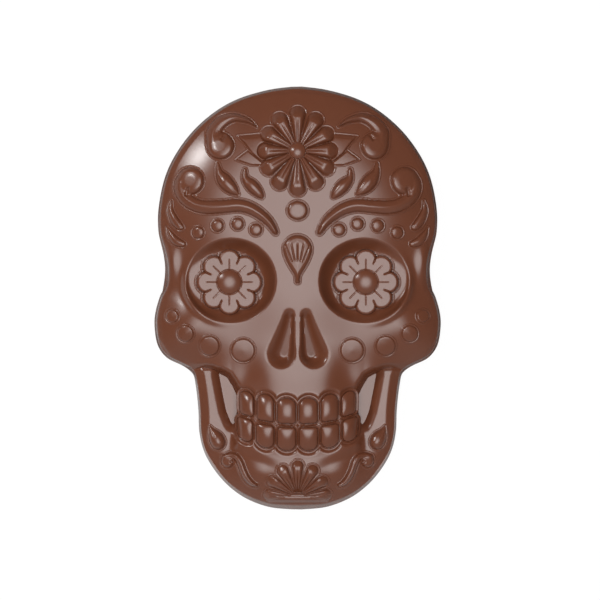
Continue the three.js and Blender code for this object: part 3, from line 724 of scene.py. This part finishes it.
def petals_height(x, y, flower, profile):
    """Domed petals that fall away to the tip, each with a groove down its inner part."""
    g = PETAL_GROOVE
    best = np.full(x.shape, -np.inf)
    height = np.zeros(x.shape)
    for rows in petals_of(flower):
        depth, width = stroke_parts(x, y, rows, 2)
        across, along = on_line(x, y, rows[0][:2], rows[1][:2])
        from_tip = (1.0 - along) * math.dist(rows[0][:2], rows[1][:2]) + rows[1][2]
        fall = flower.tip_fall * (1.0 - smooth(from_tip / flower.tip_length))
        fade = smooth((along - g.start) / g.start_fade) * smooth((g.end - along) / g.end_fade)
        cut = groove(across, g.half_width, flower.groove) * fade * smooth(depth / g.edge)
        own = lip(depth) + (share_relief(depth, width, profile) - lip(depth)) * (1.0 - fall) + cut
        height = np.where(depth > best, own, height)
        best = np.maximum(best, depth)
    return height


# The finish

def add_node(tree, kind, values=(), **settings):
    """Adds a shader node with its settings and the constant values of its inputs."""
    node = tree.nodes.new("ShaderNode" + kind)
    for name, value in settings.items():
        setattr(node, name, value)
    for socket, value in dict(values).items():
        node.inputs[socket].default_value = value
    return node


def join(tree, *links):
    """Links shader nodes, each link given as node, output, node and input."""
    for source, output, target, socket in links:
        tree.links.new(source.outputs[output], target.inputs[socket])


def chocolate():
    """Glossy milk chocolate: even colour, with faint darker clouds and a slightly wavy skin."""
    name = "glossy chocolate"
    if name in bpy.data.materials:
        return bpy.data.materials[name]
    finish = bpy.context.scene.skull_bar_finish
    material = bpy.data.materials.new(name)
    material.use_nodes = True
    tree = material.node_tree
    shader = tree.nodes["Principled BSDF"]
    shader.inputs["IOR"].default_value = 1.5
    shader.inputs["Roughness"].default_value = finish.roughness

    spot = add_node(tree, "TexCoord")
    clouds = add_node(tree, "TexNoise", {"Scale": 60.0, "Detail": 3.0})
    colours = {"A": (*finish.colour, 1.0), "B": (*finish.dark_colour, 1.0)}
    tint = add_node(tree, "Mix", colours, data_type="RGBA")
    sheen = add_node(tree, "TexNoise", {"Scale": 140.0})
    low, high = finish.roughness - ROUGHNESS_SPREAD, finish.roughness + ROUGHNESS_SPREAD
    spread = add_node(tree, "MapRange", {"To Min": low, "To Max": high})
    ripple = add_node(tree, "TexNoise", {"Scale": 220.0, "Detail": 2.0})
    bump = add_node(tree, "Bump", {"Strength": 0.05, "Distance": 0.0002})
    for noise in (clouds, sheen, ripple):
        join(tree, (spot, "Object", noise, "Vector"))
    join(tree, (clouds, "Fac", tint, "Factor"), (tint, "Result", shader, "Base Color"),
         (sheen, "Fac", spread, "Value"), (spread, "Result", shader, "Roughness"),
         (ripple, "Fac", bump, "Height"), (bump, "Normal", shader, "Normal"))
    return material


# Operators for the castings

class SKULLBAR_OT_base_plate(Operator):
    """Model the flat back layer with its drafted wall"""
    bl_idname = "skullbar.base_plate"
    bl_label = "Base plate"

    def execute(self, context):
        ring = 400
        bm = bmesh.new()
        bmesh.ops.create_circle(bm, segments=ring, radius=MM)
        self.lay_ring(list(bm.verts), 0.0)
        upper = extrude_rim(bm)
        self.lay_ring(upper, plate_top())
        bmesh.ops.holes_fill(bm, edges=[edge for edge in bm.edges if edge.is_boundary], sides=0)
        finish_piece(bm, "base_plate")
        bm.free()
        return {"FINISHED"}

    def lay_ring(self, verts, height):
        """Spreads a round ring of vertices along the outline."""
        flat = coordinates(verts)
        turn = np.arctan2(np.abs(flat[:, 0]), flat[:, 1]) / math.pi
        x, y = outline_at(turn, height)
        place(verts, x * np.where(flat[:, 0] < 0.0, -1.0, 1.0), y, np.full(len(verts), height))


class SKULLBAR_OT_skull(Operator):
    """Model the upper skull and the jaw, which meet under the lower teeth and below the cheekbones"""
    bl_idname = "skullbar.skull"
    bl_label = "Upper skull and jaw"

    def execute(self, context):
        self.skin("cranium", cranium_height, self.beyond_cranium)
        self.skin("jaw", jaw_height, self.beyond_jaw)
        return {"FINISHED"}

    def beyond_cranium(self, x, y):
        side = np.abs(x)
        below = inside_polygon(side, y, CHEEK_LINE + BELOW_CHEEK) > JOIN.tuck
        return below | (y < bite_line(np.minimum(side, JOIN.reach)) - JOIN.under_teeth)

    def beyond_jaw(self, x, y):
        side = np.abs(x)
        above = inside_polygon(side, y, CHEEK_LINE + BELOW_CHEEK) < -JOIN.under_cheek
        in_gap = inside_polygon(side, y, GAP_FLOOR) > JOIN.tuck
        return in_gap | np.where(side < JOIN.side, y > bite_line(x) - JOIN.teeth, above)

    def rows_down(self, share, samples=2000):
        """Places along the outline, from crown to chin, that give even rows on its flat and steep parts."""
        fine = np.linspace(0.0, 1.0, samples)
        line = along_curve(OUTLINE, fine)
        arc = np.concatenate([[0.0], np.cumsum(np.hypot(*np.diff(line, axis=0).T))])
        fall = line[0, 1] - line[:, 1]
        by_arc = SKIN.by_arc
        return np.interp(share, by_arc * arc / arc[-1] + (1.0 - by_arc) * fall / fall[-1], fine)

    def skin(self, name, height_of, beyond):
        """Lays a grid over the outline, crowded towards its edge, and trims it."""
        bm = grid_bmesh(SKIN.columns, SKIN.rows)
        across, up, _ = coordinates(bm.verts).T
        edge_x, y = outline_at(self.rows_down((1.0 - up) / 2.0), plate_top() - SKIN.edge)
        crowding = SKIN.crowding
        x = (np.sin(across * math.pi / 2.0) * crowding + across * (1.0 - crowding)) * edge_x
        place(bm.verts, x, y, np.maximum(height_of(x, y), plate_top() - SKIN.lowest))
        drop_verts(bm, beyond(x, y))
        close_below(bm, SKIRT)
        finish_piece(bm, name)
        bm.free()


class SKULLBAR_OT_teeth(Operator):
    """Model two rows of domed teeth, rounder at the root than at the bite"""
    bl_idname = "skullbar.teeth"
    bl_label = "Teeth"

    def execute(self, context):
        for row in ("upper", "lower"):
            for number, tooth in enumerate(tooth_places(row), start=1):
                self.tooth(f"{row}_tooth_{number}", tooth)
        return {"FINISHED"}

    def tooth(self, name, tooth):
        def depth_of(x, y):
            return tooth_depth(x, y, tooth)

        def height_of(x, y, depth):
            across, up = tooth_frame(x, y, tooth)
            u, v = across * 2.0 / tooth.width, up * 2.0 / tooth.length
            room = np.clip(1.0 - u ** 2, 0.0, None) * np.clip(1.0 - v ** 2, 0.0, None)
            dome = TOOTH_DOME.rise * np.sqrt(room) * smooth(depth / TOOTH_DOME.ramp)
            return relief(depth, "tooth") + dome

        middle = np.array([tooth.x, tooth.y])
        reach = np.array([tooth.width / 2.0 + MARGIN, tooth.length / 2.0 + TOOTH_MARGIN])
        box = middle - reach, middle + reach
        ornament(name, box, depth_of, height_of, base_of=self.gum_height, skirt=TOOTH_ROOT)

    def gum_height(self, x, y):
        """The let-down face under the teeth, without the fall into the gaps."""
        inset = from_outline(x, y)
        face = np.where(y > bite_line(x), upper_face(x, y, inset), jaw_face(x, y, inset))
        return with_gum(x, y, face)


class SKULLBAR_OT_scrolls(Operator):
    """Model the volutes, the brow scrolls and the chin scrolls, each with its curled head"""
    bl_idname = "skullbar.scrolls"
    bl_label = "Scrolls"

    def execute(self, context):
        self.scroll("volute", VOLUTE, VOLUTE_HEAD, VOLUTE_CURL, "scroll", 1.0)
        self.scroll("brow_scroll", BROW, BROW_HEAD, BROW_CURL, "scroll", 1.0)
        self.scroll("chin_scroll", CHIN_SCROLL, CHIN_SCROLL_HEAD, CHIN_CURL, "small scroll", 0.7)
        return {"FINISHED"}

    def scroll(self, name, rows, head, curl, profile, scale):
        """A stroke with a ridge down its middle that rolls up in a round domed head."""
        s = Form(**{part: size * scale for part, size in vars(SCROLL).items()})
        ridge = along_curve(rows, np.linspace(0.0, 1.0, STROKE_SAMPLES))[:, :2]

        def depth_of(x, y):
            return -soft_min(-stroke(x, y, rows), -disc(x, y, head), s.join)

        def height_of(x, y, depth):
            in_head = smooth(disc(x, y, head) / head[2] + HEAD_START)
            crest = s.ridge * np.exp(-(distance_to_chain(x, y, ridge) / s.ridge_width) ** 2)
            cut = incised(x, y, *curl, s.cut_width, s.cut_depth)
            top = crest + (s.head_rise - crest) * in_head
            return relief(depth, profile) + (top + cut) * smooth(depth / scale)

        ornament(name, box_round(rows + [head]), depth_of, height_of)


class SKULLBAR_OT_leaves(Operator):
    """Model the sprig leaves, the temple leaves and the drops on the jaw"""
    bl_idname = "skullbar.leaves"
    bl_label = "Leaves and drops"

    def execute(self, context):
        for name, rows in LEAVES.items():
            ornament(name, box_round(rows), lambda x, y: stroke(x, y, rows),
                     lambda x, y, depth: share_relief(*stroke_parts(x, y, rows), "leaf"))
        return {"FINISHED"}


class SKULLBAR_OT_beads(Operator):
    """Model the round beads of the brow, the cheeks and the forehead"""
    bl_idname = "skullbar.beads"
    bl_label = "Beads"

    def execute(self, context):
        self.row("brow_bead", BROW_BEADS, "bead")
        self.row("cheek_bead", CHEEK_BEADS, "low bead")
        b = FOREHEAD_BEAD
        ornament("forehead_bead", box_round([(b.x, b.y, b.rx)]), self.oval,
                 lambda x, y, depth: relief(depth, "bead"), both=False)
        return {"FINISHED"}

    def row(self, name, beads, profile):
        for number, bead in enumerate(beads, start=1):
            ornament(f"{name}_{number}", box_round([bead]), lambda x, y: disc(x, y, bead),
                     lambda x, y, depth: relief(depth, profile))

    def oval(self, x, y):
        """How deep points lie inside the plan of the forehead bead."""
        b = FOREHEAD_BEAD
        return (1.0 - np.hypot((x - b.x) / b.rx, (y - b.y) / b.ry)) * b.ry


class SKULLBAR_OT_forehead_flower(Operator):
    """Model the large forehead flower with its grooved petals, its boss and the blades behind it"""
    bl_idname = "skullbar.forehead_flower"
    bl_label = "Forehead flower"

    def execute(self, context):
        f = FOREHEAD_FLOWER
        reach = np.array([f.tip_x, f.tip_y]) + MARGIN
        middle = np.array([f.x, f.y])
        box = middle - reach, middle + reach
        ornament("forehead_flower", box, self.flower_depth, self.flower_height, both=False)
        for name, corners in BLADES.items():
            self.blade(name, corners)
        return {"FINISHED"}

    def flower_depth(self, x, y):
        f = FOREHEAD_FLOWER
        return np.maximum(petals_depth(x, y, f), disc(x, y, (f.x, f.y, f.disc)))

    def flower_height(self, x, y, depth):
        f = FOREHEAD_FLOWER
        height = petals_height(x, y, f, "petal")
        away = np.hypot(x - f.x, y - f.y) / f.boss
        dome = f.boss_foot + f.boss_rise * (1.0 - away ** 2)
        collar = BOSS_COLLAR.rise * smooth((BOSS_COLLAR.reach - away) / BOSS_COLLAR.ramp)
        return np.where(away < 1.0, dome, np.maximum(height, collar))

    def blade(self, name, corners):
        def depth_of(x, y):
            return np.minimum(inside_polygon(x, y, corners), BLADE_TUCK - self.flower_depth(x, y))

        def height_of(x, y, depth):
            if name.endswith("lower"):
                return relief(depth, "lower blade")
            b = BLADE_BEVEL
            across, _ = on_line(x, y, b.start, b.end)
            bevel = 1.0 - b.drop * (1.0 - np.clip(np.abs(across) / b.width, 0.0, 1.0))
            return lip(depth) + (relief(depth, "blade") - lip(depth)) * bevel

        ornament(name, box_round([(x, y, 0.0) for x, y in corners]), depth_of, height_of)


class SKULLBAR_OT_eye_flowers(Operator):
    """Model the flat-petalled flowers that fill the eye sockets"""
    bl_idname = "skullbar.eye_flowers"
    bl_label = "Eye flowers"

    def execute(self, context):
        f = EYE_FLOWER
        box = box_round([(f.x, f.y, f.tip)])
        ornament("eye_flower", box, self.depth_of, self.height_of, base_of=self.floor_height)
        return {"FINISHED"}

    def floor_height(self, x, y):
        return socket_floor() + 0.0 * x

    def angles(self, turn):
        """The angles of the petals, all turned on by a share of a petal."""
        count = EYE_FLOWER.petals
        return [math.radians(90.0 + (number + turn) * 360.0 / count) for number in range(count)]

    def depth_of(self, x, y):
        f = EYE_FLOWER
        depth = disc(x, y, (f.x, f.y, f.disc))
        reach = f.tip - f.petal_radius
        for angle in self.angles(0.0):
            tip = f.x + math.cos(angle) * reach, f.y + math.sin(angle) * reach, f.petal_radius
            depth = np.maximum(depth, disc(x, y, tip))
        return depth

    def height_of(self, x, y, depth):
        f = EYE_FLOWER
        height = relief(depth, "eye petal")
        for turn, cut in EYE_CUTS.items():
            for angle in self.angles(turn):
                height = height + incised_ray(x, y, f, angle, cut)
        away = np.hypot(x - f.x, y - f.y) / f.boss
        height = height + groove(away - f.moat, f.moat_width, f.moat_depth)
        return np.where(away < 1.0, f.boss_foot + f.boss_rise * (1.0 - away ** 2), height)


class SKULLBAR_OT_nose_fan(Operator):
    """Model the small fan on the bridge of the nose, with its incised rays"""
    bl_idname = "skullbar.nose_fan"
    bl_label = "Nose fan"

    def execute(self, context):
        ornament("nose_fan", box_round(NOSE_FAN), self.depth_of, self.height_of, both=False)
        return {"FINISHED"}

    def depth_of(self, x, y):
        return stroke(x, y, NOSE_FAN)

    def height_of(self, x, y, depth):
        height = relief(depth, "fan")
        r = FAN_RAYS
        for number in range(r.count):
            angle = math.radians(90.0 + (number / (r.count - 1) - 0.5) * r.spread)
            height = height + incised_ray(x, y, r, angle, FAN_CUT)
        return height


class SKULLBAR_OT_chin_flower(Operator):
    """Model the half flower that fans out of the chin"""
    bl_idname = "skullbar.chin_flower"
    bl_label = "Chin flower"

    def execute(self, context):
        f = CHIN_FLOWER
        reach = f.tip_x + MARGIN
        box = (-reach, f.foot_y - MARGIN), (reach, f.y + f.tip_y + MARGIN)
        ornament("chin_flower", box, self.depth_of, self.height_of, both=False)
        return {"FINISHED"}

    def slab(self, x, y, form):
        """How deep points lie inside a bar at the foot of the petals."""
        half_y = form.half_y
        return rounded_box(x, y - form.y, form.half_x, half_y, half_y * CHIN_CORNER)

    def depth_of(self, x, y):
        petals = np.minimum(petals_depth(x, y, CHIN_FLOWER), y - CHIN_FLOWER.foot_y)
        return np.maximum(petals, np.maximum(self.slab(x, y, CHIN_BAR), self.slab(x, y, CHIN_KNOT)))

    def height_of(self, x, y, depth):
        f = CHIN_FLOWER
        height = petals_height(x, y, f, "chin petal") * smooth(depth / PETAL_GROOVE.edge)
        for form in (CHIN_BAR, CHIN_KNOT):
            share = self.slab(x, y, form) / form.half_y + CHIN_EDGE
            height = np.maximum(height, form.rise * smooth(share))
        return np.maximum(height, lip(depth) * (1.0 - f.lip_loss * smooth(f.lip_y - y)))


# The studio

class SKULLBAR_OT_stage(Operator):
    """Set up the pale table, the soft lights and the camera straight above the bar"""
    bl_idname = "skullbar.stage"
    bl_label = "Stage"

    def execute(self, context):
        stage = context.scene.skull_bar_stage
        self.world(context.scene, stage)
        self.table(context.scene)
        self.key_lamp(context.scene, stage)
        self.camera(context.scene, stage)
        context.scene.view_settings.view_transform = "Standard"
        return {"FINISHED"}

    def world(self, scene, stage):
        """A dim room, lighter towards the chin, with a bright soft patch overhead, and white to the eye."""
        world = bpy.data.worlds.new("studio")
        world.use_nodes = True
        tree = world.node_tree
        background = tree.nodes["Background"]
        background.inputs["Color"].default_value = (1.0, 1.0, 1.0, 1.0)
        direction = add_node(tree, "TexCoord")
        parts = add_node(tree, "SeparateXYZ")
        ends = {"From Min": math.cos(stage.patch_outer), "From Max": math.cos(stage.patch_inner),
                "To Min": stage.room_level, "To Max": stage.patch_level}
        patch = add_node(tree, "MapRange", ends, interpolation_type="SMOOTHSTEP")
        fill = add_node(tree, "Math", {1: -stage.fill_level}, operation="MULTIPLY", use_clamp=True)
        total = add_node(tree, "Math", operation="ADD")
        path = add_node(tree, "LightPath")
        level = add_node(tree, "Math", operation="MAXIMUM")
        join(tree, (direction, "Generated", parts, "Vector"), (parts, "Z", patch, "Value"),
             (parts, "Y", fill, 0), (patch, "Result", total, 0), (fill, "Value", total, 1),
             (path, "Is Camera Ray", level, 0), (total, "Value", level, 1),
             (level, "Value", background, "Strength"))
        scene.world = world

    def table(self, scene):
        bm = bmesh.new()
        bmesh.ops.create_grid(bm, x_segments=1, y_segments=1, size=TABLE.half)
        bmesh.ops.translate(bm, verts=bm.verts, vec=(0.0, 0.0, -TABLE.drop))
        mesh = bpy.data.meshes.new("table")
        bm.to_mesh(mesh)
        bm.free()
        table = bpy.data.objects.new("table", mesh)
        scene.collection.objects.link(table)
        mesh.materials.append(self.pale())

    def pale(self):
        """White to the eye with its shadow kept, paler to the lower left in the gloss, clear from below."""
        material = bpy.data.materials.new("pale table")
        material.use_nodes = True
        tree = material.node_tree
        tree.nodes.clear()
        matt = add_node(tree, "BsdfDiffuse", {"Color": (0.85, 0.85, 0.85, 1.0)})
        glow = add_node(tree, "Emission")
        path = add_node(tree, "LightPath")
        seen = add_node(tree, "Math", {1: TABLE.white}, operation="MULTIPLY_ADD")
        mix = add_node(tree, "MixShader")
        join(tree, (path, "Is Camera Ray", seen, 0), (path, "Is Glossy Ray", seen, 2),
             (seen, "Value", mix, "Fac"), (matt, "BSDF", mix, 1), (glow, "Emission", mix, 2))

        spot = add_node(tree, "TexCoord")
        across = add_node(tree, "VectorMath", {1: TABLE.gloss_slope}, operation="DOT_PRODUCT")
        reflected = add_node(tree, "Math", {1: TABLE.gloss_middle}, operation="ADD", use_clamp=True)
        level = add_node(tree, "Math", operation="MAXIMUM")
        join(tree, (spot, "Object", across, 0), (across, "Value", reflected, 0),
             (path, "Is Camera Ray", level, 0), (reflected, "Value", level, 1),
             (level, "Value", glow, "Strength"))

        side = add_node(tree, "NewGeometry")
        clear = add_node(tree, "BsdfTransparent")
        one_sided = add_node(tree, "MixShader")
        output = add_node(tree, "OutputMaterial")
        join(tree, (side, "Backfacing", one_sided, "Fac"), (mix, "Shader", one_sided, 1),
             (clear, "BSDF", one_sided, 2), (one_sided, "Shader", output, "Surface"))
        return material

    def key_lamp(self, scene, stage):
        """A square lamp at the upper left that is turned to the middle of the bar."""
        data = bpy.data.lights.new("upper left key", "AREA")
        data.shape = "SQUARE"
        data.size = KEY_LAMP.size
        data.energy = stage.key_power
        lamp = bpy.data.objects.new(data.name, data)
        lamp.location = KEY_LAMP.place
        lamp.rotation_euler = (-Vector(KEY_LAMP.place)).to_track_quat("-Z", "Y").to_euler()
        scene.collection.objects.link(lamp)

    def camera(self, scene, stage):
        data = bpy.data.cameras.new("camera")
        data.lens = data.sensor_width * stage.camera_height / stage.frame_width
        data.clip_start = 0.01
        camera = bpy.data.objects.new("camera", data)
        right, up = (count * stage.frame_width / PICTURE_WIDTH for count in CAMERA_PIXELS)
        camera.location = (right, up, stage.camera_height)
        scene.collection.objects.link(camera)
        scene.camera = camera


class SKULLBAR_PT_panel(Panel):
    """Lists the pieces of the bar"""
    bl_idname = "SKULLBAR_PT_panel"
    bl_label = "Skull Bar"
    bl_space_type = "VIEW_3D"
    bl_region_type = "UI"
    bl_category = "Skull Bar"

    def draw(self, context):
        scene = context.scene
        for group in (scene.skull_bar_sizes, scene.skull_bar_finish, scene.skull_bar_stage):
            box = self.layout.box()
            for name in group.__annotations__:
                box.prop(group, name)
        for operator in OPERATORS:
            self.layout.operator(operator.bl_idname)


GROUPS = {
    "skull_bar_sizes": SkullBarSizes,
    "skull_bar_finish": SkullBarFinish,
    "skull_bar_stage": SkullBarStage,
}
OPERATORS = (
    SKULLBAR_OT_base_plate,
    SKULLBAR_OT_skull,
    SKULLBAR_OT_teeth,
    SKULLBAR_OT_scrolls,
    SKULLBAR_OT_leaves,
    SKULLBAR_OT_beads,
    SKULLBAR_OT_forehead_flower,
    SKULLBAR_OT_eye_flowers,
    SKULLBAR_OT_nose_fan,
    SKULLBAR_OT_chin_flower,
    SKULLBAR_OT_stage,
)


def register():
    for name, group in GROUPS.items():
        bpy.utils.register_class(group)
        setattr(bpy.types.Scene, name, PointerProperty(type=group))
    for operator in OPERATORS:
        bpy.utils.register_class(operator)
    bpy.utils.register_class(SKULLBAR_PT_panel)


def unregister():
    bpy.utils.unregister_class(SKULLBAR_PT_panel)
    for operator in reversed(OPERATORS):
        bpy.utils.unregister_class(operator)
    for name, group in GROUPS.items():
        delattr(bpy.types.Scene, name)
        bpy.utils.unregister_class(group)


def main():
    register()
    bpy.ops.skullbar.base_plate()
    bpy.ops.skullbar.skull()
    bpy.ops.skullbar.teeth()
    bpy.ops.skullbar.scrolls()
    bpy.ops.skullbar.leaves()
    bpy.ops.skullbar.beads()
    bpy.ops.skullbar.forehead_flower()
    bpy.ops.skullbar.eye_flowers()
    bpy.ops.skullbar.nose_fan()
    bpy.ops.skullbar.chin_flower()
    bpy.ops.skullbar.stage()


if __name__ == "__main__":
    main()
